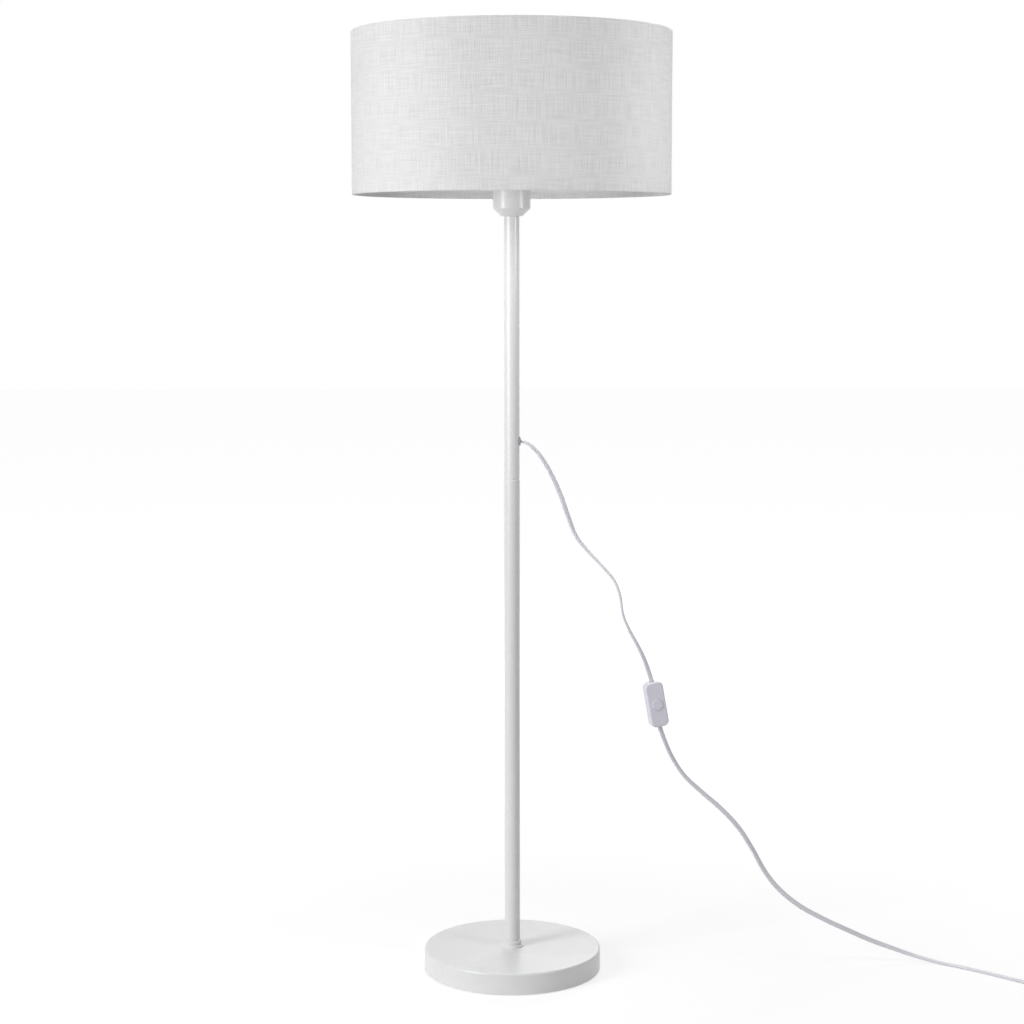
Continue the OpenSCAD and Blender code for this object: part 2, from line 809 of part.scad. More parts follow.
// ---- Shade ----

low_wire_z = shade_z + fabric_t + fit + wire_d / 2;
high_wire_z = shade_z + shade_h - fabric_t - fit - wire_d / 2;

module wire_ring(z) {
    translate([0, 0, z]) rotate_extrude() translate([wire_ring_r, 0]) circle(d = wire_d);
}

module shade_fitter() {
    hub_out_r = hub_in_r + hub_w;
    spoke_in = [hub_out_r - 1, 0, hub_z + hub_t / 2];
    spoke_out = [wire_ring_r, 0, low_wire_z + 0.3];
    color("lightgray") {
        wire_ring(low_wire_z);
        ring(hub_z, hub_in_r, hub_out_r, hub_t);
        for (a = spoke_angles) rotate([0, 0, a])
            rod(spoke_in, spoke_out, spoke_d / 2);
    }
}

module shade_top_wire() {
    color("lightgray") wire_ring(high_wire_z);
}

module shade_liner() {
    z = shade_z + fabric_t;
    color("white") ring(z, liner_in_r, liner_out_r, shade_h - 2 * fabric_t);
}

// Fabric round the liner, turned in over both wires, with slits for the spokes
module shade_fabric() {
    hem_r = hem_out_r - fabric_t;
    slit = spoke_d + 2;
    color("white") difference() {
        translate([0, 0, shade_z]) rotate_extrude() {
            translate([liner_out_r, 0]) square([fabric_t, shade_h]);
            for (z = [0, shade_h - fabric_t])
                translate([hem_r, z]) square([shade_d / 2 - hem_r, fabric_t]);
            for (z = [0, shade_h - hem_h]) translate([hem_r, z]) square([fabric_t, hem_h]);
        }
        for (a = spoke_angles) rotate([0, 0, a])
            translate([hem_r - over, -slit / 2, shade_z + fabric_t])
                cube([over + fabric_t + fit, slit, hem_h]);
    }
}

// ---- Bulb ----

module bulb_globe() {
    r = globe_d / 2;
    color("white") translate([0, 0, globe_z]) rotate_extrude() difference() {
        circle(r);
        circle(r - globe_wall);
        translate([-2 * r, -r]) square([2 * r, 2 * r + over]);
        translate([-over, -r - over]) square([r + 2 * over, r + over - globe_cut]);
    }
}

module bulb_housing() {
    foot = housing_foot_d / 2;
    color("white") translate([0, 0, housing_z]) rotate_extrude() polygon([
        [0, 0], [foot, 0], [foot + 1, 3], [globe_cut_r, housing_h],
        [globe_cut_r - housing_wall, housing_h], [foot - housing_wall, housing_wall],
        [0, housing_wall]
    ]);
}

// Screw cap with a rounded thread, open at both ends
module bulb_cap() {
    wall = 0.4;
    inner = cap_d / 2 - cap_ridge - wall;
    steps = 8;
    waves = floor((cap_h - 4) / cap_pitch);
    start = 2;
    thread = [
        for (i = [0 : waves * steps])
            [cap_d / 2 - cap_ridge * (1 - cos(360 * i / steps)) / 2,
                start + cap_pitch * i / steps]
    ];
    color("silver") translate([0, 0, cap_z]) rotate_extrude() polygon(concat(
        [[inner, 0], [cap_d / 2 - cap_ridge, 0]], thread,
        [[cap_d / 2, cap_h], [inner, cap_h]]
    ));
}

module bulb_insulator() {
    foot = cap_d / 2 - cap_ridge;
    color("black") translate([0, 0, insulator_z])
        cylinder(r1 = tip_d / 2 + 1, r2 = foot, h = insulator_h);
}

module bulb_tip() {
    color("silver") translate([0, 0, tip_z])
        cylinder(r1 = tip_d / 2 - tip_h, r2 = tip_d / 2, h = tip_h);
}

// ---- Lead and its fittings ----

module cord_bushing() {
    color("gainsboro") difference() {
        translate([0, 0, exit_z]) rotate([0, 90, 0]) {
            cylinder(d = barrel_d, h = exit_x - over);
            cylinder(d = bushing_d, h = exit_x - over);
            translate([0, 0, exit_x - over])
                cylinder(d1 = bushing_d, d2 = bushing_d - 2 * over, h = over);
        }
        difference() {
            translate([0, 0, exit_z]) cylinder(d = upper_tube_d + 2 * fit, h = 2 * bushing_d,
                center = true);
            translate([upper_tube_d / 2 - tube_wall - barrel_in, 0, exit_z]) rotate([0, 90, 0])
                cylinder(d = barrel_d, h = upper_tube_d);
        }
        translate([-over, 0, exit_z]) rotate([0, 90, 0])
            cylinder(d = bushing_bore_d, h = exit_x + 2 * over);
    }
}

module cord_anchor() {
    slack = 0.3;
    color("dimgray") translate([0, 0, exit_z + anchor_rise]) difference() {
        cylinder(d = anchor_d, h = anchor_l);
        translate([0, 0, -over]) linear_extrude(anchor_l + 2 * over)
            rotate([0, 0, 90]) flat_outline(cord_w + slack, cord_t + slack);
    }
}

module cord_inside() {
    cord_stretch(cord_inside_route, [-1, 0, 0], [0, 0, 1]);
}

// The two cores, from the lead's end to the terminals in the contact block
module lead_wires() {
    section = round_section(core_d, 8);
    start_z = cord_inside_top + fit;
    finish_x = terminal_x - terminal_r - fit;
    color("lightgray") for (x = [-1, 1]) {
        y = x * (cord_w - cord_t) / 2;
        route = [
            [0, y, start_z, 0],
            [x * 0.4, y, start_z + 2.2, 0],
            [x * 2.6, 0.8 * y, start_z + 4.4, 0],
            [x * (finish_x - 1.4), 0.3 * y, terminal_end_z + core_d / 2, 0],
            [x * finish_x, 0, terminal_end_z + core_d / 2, 0]
        ];
        skin(swept_rings(section, smooth(route, 2), [0, 0, 1], [x, 0, 0]));
    }
}

module cord_upper() {
    cord_stretch(cord_upper_route, [1, 0, 0], switch_down);
}

module cord_lower() {
    cord_stretch(cord_lower_route, switch_down, coil_dir);
}

module cord_coil() {
    color("white")
        skin(concat([coil_end_ring(coil_in)], coil_loop, [coil_end_ring(coil_out)]));
}

// ---- Switch: its length is Z, its front is -Y, and it is put in place as a whole ----

module in_switch() {
    translate(switch_at) rotate([0, -switch_lean, 0]) rotate([0, 0, switch_turn]) children();
}

// One half of the casing, whose front is -Y, with the lead's slots cut in its ends
module switch_half() {
    x = switch_w / 2 - switch_corner_r;
    z = switch_l / 2 - switch_corner_r;
    depth = switch_depth / 2;
    difference() {
        hull() for (i = [-1, 1], k = [-1, 1])
            translate([i * x, 0, k * z]) rotate([90, 0, 0]) rotate_extrude($fn = 32)
                rounded_slab(switch_corner_r, depth, switch_edge_r);
        translate([0, over, 0]) rotate([90, 0, 0]) linear_extrude(depth - switch_wall + over)
            rounded_rectangle(switch_w - 2 * switch_wall, switch_l - 2 * switch_wall,
                switch_corner_r - switch_wall);
        translate([0, 0, -switch_l]) linear_extrude(2 * switch_l)
            flat_outline(cord_w + 2 * fit, cord_t + 2 * fit);
    }
}

// Upright that a casing screw goes through (side = 1, back) or into (side = -1, front)
module screw_post(sign, side) {
    translate([sign * switch_screw_at.x, 0, sign * switch_screw_at.y])
        rotate([-90 * side, 0, 0])
            cylinder(d = screw_head_d + 0.6, h = (switch_depth - switch_wall) / 2);
}

module screw_cut(sign, d, from_y, to_y) {
    translate([sign * switch_screw_at.x, to_y, sign * switch_screw_at.y]) rotate([90, 0, 0])
        cylinder(d = d, h = to_y - from_y);
}

head_seat_y = switch_depth / 2 - 2;
screw_end_y = -4.5;

module switch_front() {
    color("white") in_switch() difference() {
        union() {
            switch_half();
            for (sign = [-1, 1]) screw_post(sign, -1);
        }
        rotate([90, 0, 0]) cylinder(d = button_d + 2 * clear, h = switch_depth);
        for (sign = [-1, 1]) screw_cut(sign, screw_d + 2 * fit, screw_end_y - 0.5, over);
    }
}

module switch_back() {
    color("white") in_switch() difference() {
        union() {
            rotate([0, 0, 180]) switch_half();
            for (sign = [-1, 1]) screw_post(sign, 1);
            rotate([-90, 0, 0]) cylinder(d = spring_d + 4, h = switch_depth / 2 - over);
        }
        rotate([-90, 0, 0]) translate([0, 0, -over])
            cylinder(d = spring_d + 5, h = spring_seat_y + over);
        for (sign = [-1, 1]) {
            screw_cut(sign, screw_d + 4 * fit, -over, switch_depth);
            screw_cut(sign, screw_head_d + 2 * fit, head_seat_y, switch_depth);
        }
    }
}

spring_seat_y = switch_depth / 2 - switch_wall - 2;
button_back_y = -switch_depth / 2 - button_out + 5.7;

module switch_button() {
    r = button_d / 2;
    front = -switch_depth / 2 - button_out;
    flange_y = switch_in_y + clear;
    stem_end = spring_seat_y - button_travel - 1;
    color("white") in_switch() rotate([90, 0, 0]) {
        translate([0, 0, -button_back_y]) rotate_extrude() difference() {
            rounded_slab(r, button_back_y - front, 1);
            translate([r * 0.7, button_back_y - front]) circle(button_groove, $fn = 24);
        }
        translate([0, 0, -flange_y - button_flange_t])
            cylinder(d = button_flange_d, h = button_flange_t);
        translate([0, 0, -stem_end]) cylinder(d = stem_d, h = stem_end - button_back_y + over);
    }
}

// Helical return spring, drawn as long as it is when the button is pressed in
module switch_spring() {
    wire = spring_wire_d / 2;
    y0 = button_back_y + button_travel + clear + wire;
    y1 = spring_seat_y - wire;
    per_turn = 10;
    section = round_section(spring_wire_d, 6);
    function turn_point(i) = let (a = 360 * i / per_turn)
        [spring_d / 2 * cos(a), y0 + (y1 - y0) * i / (spring_turns * per_turn),
            spring_d / 2 * sin(a)];
    rings = [
        for (i = [0 : spring_turns * per_turn])
            let (a = 360 * i / per_turn, out = [cos(a), 0, sin(a)])
                [for (s = section) turn_point(i) + s.x * out + [0, s.y, 0]]
    ];
    color("silver") in_switch() skin(rings);
}

contact_z = 15;
contact_x = 4.8;
contact_top_y = 2.4;

module switch_contacts() {
    size = [4, switch_depth / 2 - switch_wall - contact_top_y, 6];
    color("gold") in_switch() for (x = [-1, 1], z = [-1, 1])
        translate([x * contact_x - size.x / 2, contact_top_y, z * contact_z - size.z / 2])
            cube(size);
}

// Ends of the lead inside the switch, each with its two cores
module switch_leads() {
    stub = 12;
    core = 0.9;
    color("white") in_switch() for (end = [-1, 1]) {
        stub_z = end * (switch_l / 2 - stub);
        translate([0, 0, end > 0 ? stub_z : -switch_l / 2]) linear_extrude(stub)
            flat_outline(cord_w, cord_t);
        for (x = [-1, 1])
            rod([x * (cord_w - cord_t) / 2, 0, stub_z + end * 0.5],
                [x * (contact_x - 1), contact_top_y - 1.2, end * contact_z], core);
    }
}

module switch_screws() {
    color("silver") in_switch() for (sign = [-1, 1]) {
        screw_cut(sign, screw_d, screw_end_y, head_seat_y + 0.2);
        screw_cut(sign, screw_head_d, head_seat_y, head_seat_y + 1.6);
    }
}

// ---- Plug: it lies flat, and is drawn along +Z from the end of the lead ----

module at_plug() {
    translate(coil_out) rotate([0, 90, coil_start_a + 90]) children();
}

module plug_strain_relief() {
    grooves = 4;
    pitch = relief_l / (grooves + 2);
    color("white") at_plug() rotate_extrude() difference() {
        polygon([[0, 0], [relief_tip_d / 2, 0], [relief_d / 2, relief_l], [0, relief_l]]);
        for (i = [1 : grooves]) translate([relief_tip_d / 2 - 0.6, i * pitch])
            square([relief_d, pitch / 4]);
    }
}

module plug_body() {
    half = plug_w / 2;
    neck = plug_neck_w / 2;
    corner = 4;
    plan = concat(
        [[0, -neck]],
        [[plug_shoulder_l, -half]],
        arc([plug_l - corner, corner - half], corner, -90, 0, 5),
        arc([plug_l - corner, half - corner], corner, 0, 90, 5),
        [[plug_shoulder_l, half], [0, neck]]
    );
    side = plug_t / 2;
    profile = [
        [0, plug_bevel - side], [plug_bevel, -side], [plug_l - plug_bevel, -side],
        [plug_l, plug_bevel - side], [plug_l, side - plug_bevel],
        [plug_l - plug_bevel, side], [plug_bevel, side], [0, side - plug_bevel]
    ];
    color("white") at_plug() translate([0, 0, relief_l]) difference() {
        intersection() {
            rotate([0, -90, 0]) translate([0, 0, -side]) linear_extrude(plug_t)
                polygon(plan);
            rotate([0, -90, -90]) translate([0, 0, -plug_w]) linear_extrude(2 * plug_w)
                polygon(profile);
        }
        for (y = [-1, 1]) translate([0, y * pin_pitch / 2, plug_l - pin_root])
            cylinder(r = pin_core_r + fit, h = pin_root + over);
    }
}

pin_root = 8;
pin_core_r = 1.5;

module plug_pins() {
    dome = 0.8;
    color("silver") at_plug() for (y = [-1, 1])
        translate([0, y * pin_pitch / 2, relief_l + plug_l - pin_root]) {
            cylinder(r = pin_core_r, h = pin_root + sleeve_l);
            translate([0, 0, pin_root + sleeve_l])
                cylinder(d = pin_d, h = pin_l - sleeve_l - dome);
            translate([0, 0, pin_root + pin_l - dome])
                cylinder(d1 = pin_d, d2 = pin_d - 2 * dome, h = dome);
        }
}

module plug_sleeves() {
    color("whitesmoke") at_plug() for (y = [-1, 1])
        translate([0, y * pin_pitch / 2, 0])
            ring(relief_l + plug_l, pin_core_r + fit, sleeve_d / 2, sleeve_l);
}

base_pad();
base_bottom_plate();
base_weight();
base_cover();
base_bolt();
base_washer();
base_collar();
lower_tube();
lower_tube_bottom_plug();
lower_tube_top_plug();
joint_stud();
upper_tube();
upper_tube_bottom_plug();
upper_tube_top_plug();
holder_nipple();
nipple_washer();
nipple_nut();
holder_cup();
holder_base();
contact_block();
terminal_screws();
centre_contact();
side_contact();
holder_shell();
screw_sleeve();
lower_shade_ring();
upper_shade_ring();
shade_fitter();
shade_top_wire();
shade_liner();
shade_fabric();
bulb_globe();
bulb_housing();
bulb_cap();
bulb_insulator();
bulb_tip();
cord_bushing();
cord_anchor();
cord_inside();
lead_wires();
cord_upper();
switch_front();
switch_back();
switch_button();
switch_spring();
switch_contacts();
switch_leads();
switch_screws();
cord_lower();
cord_coil();
plug_strain_relief();
plug_body();
plug_pins();
plug_sleeves();
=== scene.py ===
"""Looks of the column floor lamp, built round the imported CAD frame.

Blender's lengths are in metres. The leads' routes and the shade's sizes are written in millimetres,
as in the part's source, and are multiplied by MM where they become points.
"""
import json
import math

import bmesh
import bpy
import numpy as np
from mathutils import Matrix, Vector


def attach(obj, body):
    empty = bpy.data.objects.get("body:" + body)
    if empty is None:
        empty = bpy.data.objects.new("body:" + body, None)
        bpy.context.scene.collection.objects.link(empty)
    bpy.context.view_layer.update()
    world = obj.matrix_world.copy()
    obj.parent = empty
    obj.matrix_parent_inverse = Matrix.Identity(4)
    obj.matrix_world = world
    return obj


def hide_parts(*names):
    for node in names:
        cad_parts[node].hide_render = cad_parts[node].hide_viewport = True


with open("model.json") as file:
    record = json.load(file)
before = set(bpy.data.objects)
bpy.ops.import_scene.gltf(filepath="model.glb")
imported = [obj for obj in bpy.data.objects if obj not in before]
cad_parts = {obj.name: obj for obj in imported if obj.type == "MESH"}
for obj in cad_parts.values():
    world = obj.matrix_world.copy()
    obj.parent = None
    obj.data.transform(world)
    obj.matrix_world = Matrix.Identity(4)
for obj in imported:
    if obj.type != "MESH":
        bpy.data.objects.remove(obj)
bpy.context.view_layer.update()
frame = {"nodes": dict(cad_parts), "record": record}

MM = 0.001
FULL_TURN = 2 * math.pi
UP = np.array([0.0, 0.0, 1.0])


# ---- Camera: the photograph's viewing angle ----

CAMERA_AT = (0.0003, -3.102, 1.038)
CAMERA_TILT = 0.117  # radians down from level
CAMERA_ROLL = math.radians(0.05)
CAMERA_REACH = (0.05, 60.0)
SENSOR_W = 36.0  # millimetres, as the lens is
LENS = 76.5


def make_camera():
    data = bpy.data.cameras.new("camera")
    data.sensor_width = SENSOR_W
    data.lens = LENS
    data.clip_start, data.clip_end = CAMERA_REACH
    camera = bpy.data.objects.new("camera", data)
    bpy.context.scene.collection.objects.link(camera)
    camera.location = CAMERA_AT
    camera.rotation_euler = (math.radians(90) - CAMERA_TILT, CAMERA_ROLL, 0.0)
    bpy.context.scene.camera = camera


make_camera()


# ---- Mesh helpers ----

MERGE_DISTANCE = 1e-7


def add_mesh(name, points, faces, smooth=True):
    """Object of these faces, with doubled points merged and all faces turned outwards."""
    mesh = bpy.data.meshes.new(name)
    mesh.from_pydata([tuple(p) for p in points], [], faces)
    mesh.validate()
    shell = bmesh.new()
    shell.from_mesh(mesh)
    bmesh.ops.remove_doubles(shell, verts=shell.verts, dist=MERGE_DISTANCE)
    bmesh.ops.recalc_face_normals(shell, faces=shell.faces)
    shell.to_mesh(mesh)
    shell.free()
    for face in mesh.polygons:
        face.use_smooth = smooth
    piece = bpy.data.objects.new(name, mesh)
    bpy.context.scene.collection.objects.link(piece)
    return piece


def ring_mesh(name, rings, joined=False, smooth=True):
    """Skin over rings of the same number of points: with two ends, or joined into a loop."""
    corners, count = len(rings[0]), len(rings)
    points = [p for ring in rings for p in ring]
    faces = []
    if not joined:
        last = (count - 1) * corners
        faces = [list(range(corners))[::-1], [last + k for k in range(corners)]]
    for i in range(count if joined else count - 1):
        here, there = i * corners, (i + 1) % count * corners
        for k in range(corners):
            m = (k + 1) % corners
            faces.append([here + k, here + m, there + m, there + k])
    return add_mesh(name, points, faces, smooth)


def outward(angle):
    """Unit vector away from a vertical axis, at this angle round it."""
    return np.array([math.cos(angle), math.sin(angle), 0.0])


def onward(angle):
    """Unit vector round a vertical axis, at this angle round it."""
    return np.array([-math.sin(angle), math.cos(angle), 0.0])


def polar_point(radius, angle, height):
    """Point in metres, from a radius and a height in millimetres."""
    return (radius * math.cos(angle) * MM, radius * math.sin(angle) * MM, height * MM)


# ---- The lead: its route points are those of the part's source, in millimetres ----

CORD_W = 7.2 * MM
CORD_T = 3.8 * MM
CORE_POINTS = 9  # round each core's outer side
WAIST_DEPTH = 0.16 * MM
WAIST_SPREAD = 0.22
WAIST_ROWS = (0.5, 0.18, 0.0, -0.18, -0.5)  # shares of the way from the middle to a core's centre

EXIT = (12.5, 0, 775.5)
SWITCH_AT = np.array([208.0, 0.0, 393.0])
SWITCH_LEAN = math.radians(10)
SWITCH_TURN = math.radians(14)
SWITCH_DOWN = np.array([math.sin(SWITCH_LEAN), 0.0, -math.cos(SWITCH_LEAN)])
SWITCH_BACK = np.array([
    -math.sin(SWITCH_TURN) * math.cos(SWITCH_LEAN), math.cos(SWITCH_TURN),
    -math.sin(SWITCH_TURN) * math.sin(SWITCH_LEAN),
])
SWITCH_L = 66.0

COIL_AT = np.array([805.0, -80.0, 0.0])
COIL_R = 44.0
COIL_TURNS = 3
COIL_STEP = 8.0  # how much smaller each turn is, up to the middle of the coil
COIL_CLIMB = 0.5  # turns in which it climbs from the low layer to the high one
COIL_START = math.radians(227)
COIL_LOW, COIL_HIGH = 2.1, 7.05
COIL_TAIL = 30.0
COIL_RINGS = 40  # to a turn

coil_dir = onward(COIL_START)
coil_start = COIL_AT + COIL_R * outward(COIL_START)
coil_in = coil_start - CORD_W / MM * coil_dir + [0, 0, COIL_LOW]
coil_out = coil_start + COIL_TAIL * coil_dir + [0, 0, COIL_HIGH]

# Each point has the lead's twist in degrees as its fourth number
UPPER_ROUTE = [
    (*EXIT, 80), (22, 0, 772.5, 72), (33, 1, 763, 60), (45, 2, 747.5, 46), (58, 4, 724, 32),
    (70, 6, 696.5, 24), (80, 7, 668, 35), (92, 7, 638, 60), (110, 6, 615, 80),
    (131, 4, 593, 88), (148, 2, 572, 92), (156, 1, 550, 90), (160, 0, 524, 84),
    (170, 0, 500, 72), (184, 0, 474, 56), (194, 0, 451, 36),
    (*(SWITCH_AT - SWITCH_DOWN * SWITCH_L / 2), 14),
]
LOWER_ROUTE = [
    (*(SWITCH_AT + SWITCH_DOWN * SWITCH_L / 2), 14), (219, 0, 345, 28), (232, 0, 315, 42),
    (251, 1, 286, 45), (276, 2, 262, 35), (303, 4, 238, 25), (329, 6, 210, 22),
    (350, 8, 178, 30), (371, 10, 140, 18), (394, 13, 111, 5), (424, 17, 86, 0),
    (458, 21, 66, 5), (494, 25, 48, 14), (530, 28, 31, 30), (564, 27, 18.5, 52),
    (597, 21, 8.5, 72), (629, 8, 3, 86), (660, -12, COIL_LOW, 90),
    (689, -36, COIL_LOW, 90), (717, -61, COIL_LOW, 90), (744, -85.5, COIL_LOW, 90),
    (*coil_in, 90),
]
ROUTE_STEPS = 5  # rings from one point to the next


def unit(v):
    return v / np.linalg.norm(v)


def smooth_curve(route):
    """Smooth curve through the route's points, their twist included."""
    points = np.array(route, float)
    last = len(points) - 1
    line = []
    for i in range(last):
        a, b, c, d = (points[max(i - 1, 0)], points[i], points[i + 1], points[min(i + 2, last)])
        for k in range(ROUTE_STEPS):
            s = k / ROUTE_STEPS
            line.append((2 * b + (c - a) * s + (2 * a - 5 * b + 4 * c - d) * s * s
                         + (3 * b - a - 3 * c + d) * s ** 3) / 2)
    line.append(points[last])
    return line


def lead_section():
    """Outline of the flat lead: two cores side by side, with a shallow waist between them."""
    half, r = (CORD_W - CORD_T) / 2, CORD_T / 2
    outline = []
    for side in (1, -1):
        for k in range(CORE_POINTS):
            a = math.radians(-90 + 180 * k / (CORE_POINTS - 1))
            outline.append((side * (half + r * math.cos(a)), side * r * math.sin(a)))
        for x in WAIST_ROWS:
            waist = WAIST_DEPTH * math.exp(-(x / WAIST_SPREAD) ** 2)
            outline.append((side * half * x, side * (r - waist)))
    return outline


SECTION = lead_section()


def section_ring(at, wide, thin):
    return [at * MM + x * wide - y * thin for x, y in SECTION]


def stretch_rings(route, start_dir, end_dir):
    """Rings and centres of a free stretch of the lead, twisted as its route says."""
    line = smooth_curve(route)
    last = len(line) - 1
    rings, centres = [], []
    for i, p in enumerate(line):
        if i == 0:
            along = start_dir
        elif i == last:
            along = end_dir
        else:
            along = unit(line[i + 1][:3] - line[i - 1][:3])
        twist = math.radians(p[3])
        upright = unit(np.cross(along, (0, 1, 0)))
        wide = math.cos(twist) * upright + math.sin(twist) * np.cross(upright, along)
        rings.append(section_ring(p[:3], wide, np.cross(wide, along)))
        centres.append(p[:3] * MM)
    return rings, centres


def coil_rings():
    """Rings and centres of the coil: in on the low layer, a climb, and out on the high layer."""
    rings, centres = [], []
    for i in range(COIL_TURNS * COIL_RINGS + 1):
        t = i / COIL_RINGS
        out = outward(COIL_START + FULL_TURN * t)
        climbed = min(max((t - (COIL_TURNS - COIL_CLIMB) / 2) / COIL_CLIMB, 0), 1)
        eased = 3 * climbed ** 2 - 2 * climbed ** 3
        at = COIL_AT + (COIL_R - COIL_STEP * min(t, COIL_TURNS - t)) * out
        at = at + [0, 0, COIL_LOW + (COIL_HIGH - COIL_LOW) * eased]
        rings.append(section_ring(at, -out, -UP))
        centres.append(at * MM)
    return rings, centres


def make_leads():
    upper_rings, upper_path = stretch_rings(UPPER_ROUTE, np.array([1.0, 0, 0]), SWITCH_DOWN)
    lower_rings, lower_path = stretch_rings(LOWER_ROUTE, SWITCH_DOWN, coil_dir)
    loop_rings, loop_path = coil_rings()
    tail_ring = section_ring(coil_out, -outward(COIL_START), -UP)
    upper = ring_mesh("lead_upper", upper_rings)
    lower = ring_mesh("lead_lower", lower_rings + loop_rings + [tail_ring])
    return upper, upper_path, lower, lower_path + loop_path + [coil_out * MM]


# The band round the coil's turns: a rounded oblong of radii and heights, seen along the lead
TIE_TURN = 0.25  # turns after the coil's start
TIE_IN, TIE_OUT = 29.9, 46.1
TIE_LOW, TIE_HIGH = 0.11, 11.5
TIE_BEND = 2.0
TIE_BEND_POINTS = 6
TIE_HALF_W = 2.4
TIE_HALF_T = 0.45
TIE_HALF_T_BELOW = 0.08  # thinner between the coil and the floor


def make_tie():
    """Band that holds the coil's turns together."""
    angle = COIL_START + FULL_TURN * TIE_TURN
    out, along = outward(angle), onward(angle)
    bends = [
        (TIE_OUT - TIE_BEND, TIE_LOW + TIE_BEND, -90), (TIE_OUT - TIE_BEND, TIE_HIGH - TIE_BEND, 0),
        (TIE_IN + TIE_BEND, TIE_HIGH - TIE_BEND, 90), (TIE_IN + TIE_BEND, TIE_LOW + TIE_BEND, 180),
    ]
    rings = []
    for bend_r, bend_z, start in bends:
        for k in range(TIE_BEND_POINTS):
            b = math.radians(start + 90 * k / (TIE_BEND_POINTS - 1))
            normal = math.cos(b) * out + math.sin(b) * UP
            centre = COIL_AT + bend_r * out + bend_z * UP + TIE_BEND * normal
            faces_floor = math.sin(b) < -0.5
            half_t = TIE_HALF_T_BELOW if faces_floor else TIE_HALF_T
            rings.append([(centre + u * TIE_HALF_W * along + v * half_t * normal) * MM
                          for u, v in ((-1, -1), (1, -1), (1, 1), (-1, 1))])
    return ring_mesh("lead_tie", rings, joined=True, smooth=False)


upper_lead, upper_path, lower_lead, lower_path = make_leads()
tie = make_tie()
for piece in (upper_lead, lower_lead, tie):
    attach(piece, "lamp")
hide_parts("cord_upper")
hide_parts("cord_lower", "cord_coil")


# ---- Shade cloth: one skin round the liner, turned in over the two wires ----

SHADE_R = 225.0
SHADE_LOW, SHADE_HIGH = 1124.0, 1349.0
CLOTH_T = 0.8
SKIN_ROWS = (112.5, 86, 56, 31, 16, 7)  # heights over the lower edge, from the middle down
FOLD_R = 1.3
FOLD_POINTS = 7
HEM_R = 219.6
HEM_H = 8.0
HEM_ROWS = (2.5, 4.5, 6.5, 7.5)
HEM_EDGE = 0.25

CLOTH_STEP = 1.25  # degrees from one row of points to the next
SPOKES = (90, 210, 330)  # degrees
SLIT_HALF = 2.6
SLIT_SIDE = 0.12  # degrees over which the cloth comes down to its height beside a slit
SLIT_CLEAR = 0.25  # degrees beside a slit that hold no other row
SLIT_H = 0.55
SLIT_APART = 0.01  # keeps the points in a slit from merging

DRAWN_IN = 0.12
RIPPLE = 0.05
RIPPLE_WAVES = (3, 5, 8, 13, 21, 34)
RIPPLE_LEAN = 90.0  # height in which a ripple moves on by a radian
RIPPLE_SEED = 7

SEAM_HALF_W = 7.0
SEAM_END = 2.4  # from the shade's edges to the ends of the seam
SEAM_ROWS = 24
SEAM_RISE = 0.45
SEAM_EDGE_SINK = 0.2
SEAM_BACK_SINK = 0.35
SEAM_RIPPLE = 0.03
SEAM_RIPPLE_LEAN = 7.0


def cloth_profile():
    """Half of the closed section of the cloth, from the middle of its height down and round."""
    outer, inner = [], []

    def row(outer_r, inner_r, above):
        outer.append((outer_r, SHADE_LOW + above))
        inner.append((inner_r, SHADE_LOW + above))

    def quarter_fold(centre_r, start):
        for k in range(FOLD_POINTS):
            a = math.radians(start - 90 * k / (FOLD_POINTS - 1))
            for face, r in ((outer, FOLD_R), (inner, FOLD_R - CLOTH_T)):
                face.append((centre_r + r * math.cos(a), SHADE_LOW + FOLD_R + r * math.sin(a)))

    for above in SKIN_ROWS:
        row(SHADE_R, SHADE_R - CLOTH_T, above)
    quarter_fold(SHADE_R - FOLD_R, 0)
    quarter_fold(HEM_R + FOLD_R, -90)
    for above in HEM_ROWS:
        row(HEM_R, HEM_R + CLOTH_T, above)
    row(HEM_R + HEM_EDGE, HEM_R + CLOTH_T - HEM_EDGE, HEM_H)
    return outer, inner


def cloth_angles(slit):
    """Angles of the cloth's rows in degrees, with a few close together at each slit."""
    angles = list(np.arange(0, 360, CLOTH_STEP))
    for a in SPOKES:
        angles = [b for b in angles if abs(b - a) > slit + SLIT_CLEAR]
        angles += [a - slit - SLIT_SIDE, a - slit, a, a + slit, a + slit + SLIT_SIDE]
    return sorted(angles)


def make_cloth():
    """The shade's cloth, with a soft ripple and a slit in the lower hem at each spoke."""
    outer, inner = cloth_profile()
    mirror = SHADE_LOW + SHADE_HIGH
    low_half = outer[1:] + inner[::-1]
    high_half = [(r, mirror - z) for r, z in inner[1:] + outer[::-1]]
    slit = math.degrees(SLIT_HALF / HEM_R)
    phases = np.random.default_rng(RIPPLE_SEED).uniform(0, FULL_TURN, len(RIPPLE_WAVES))
    rings = []
    for degrees in cloth_angles(slit):
        a = math.radians(degrees)
        in_slit = any(abs(degrees - b) < slit + SLIT_SIDE / 2 for b in SPOKES)
        ring = []
        for i, (r, z) in enumerate(low_half + high_half):
            ripple = sum(math.sin(n * a + phase + z / RIPPLE_LEAN) / n
                         for n, phase in zip(RIPPLE_WAVES, phases))
            r = r - DRAWN_IN + RIPPLE * ripple
            if in_slit and i < len(low_half) and r < SHADE_R - 2 * FOLD_R:
                z = min(z, SHADE_LOW + SLIT_H + SLIT_APART * (i % 7))
            ring.append(polar_point(r, a, z))
        rings.append(ring)
    return ring_mesh("shade_cloth", rings, joined=True)


